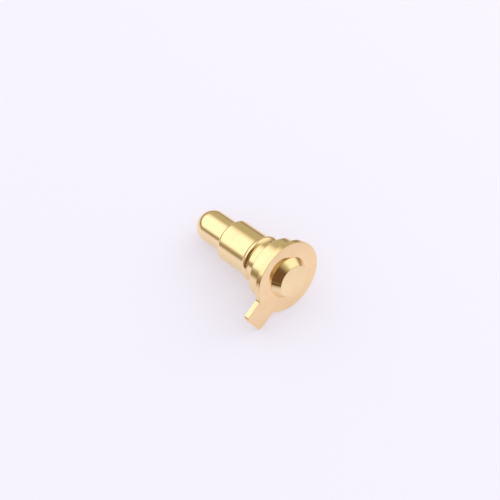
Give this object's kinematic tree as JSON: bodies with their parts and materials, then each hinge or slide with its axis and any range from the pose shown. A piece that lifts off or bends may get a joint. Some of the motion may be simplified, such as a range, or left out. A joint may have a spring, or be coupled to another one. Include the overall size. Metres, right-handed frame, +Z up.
{
  "type": "spring-loaded contact pin with solder lug",
  "caption": "Gold-plated spring-loaded contact pin: domed plunger in a flanged barrel, with a stamped solder lug riveted to its tail.",
  "frame": {"origin": "on the surface that the pin lies on, under the middle of its bounding box", "axes": "+Z up; +Y the way the plunger points, seen from above (the pin's own axis dips 11.4 degrees below +Y towards the tip); the solder tail lies on the -X side"},
  "size_m": [0.0042, 0.006, 0.0034],
  "materials": {
    "gold_barrel": "polished gold plating over turned brass",
    "gold_lug": "polished gold plating over stamped brass sheet",
    "gold_plunger": "bright gold plating over turned brass",
    "spring_steel": "drawn stainless spring wire"
  },
  "bodies": {
    "barrel": {"barrel": "gold_barrel", "solder_lug": "gold_lug", "spring": "spring_steel"},
    "plunger": {"plunger": "gold_plunger"}
  },
  "joints": [
    {"name": "plunger_slide", "type": "slide", "parent": "barrel", "child": "plunger", "axis": [0, -0.9804, 0.1971], "range_m": [0, 0.0012], "stiffness_N_per_m": 660, "deforming": ["spring"]}
  ]
}
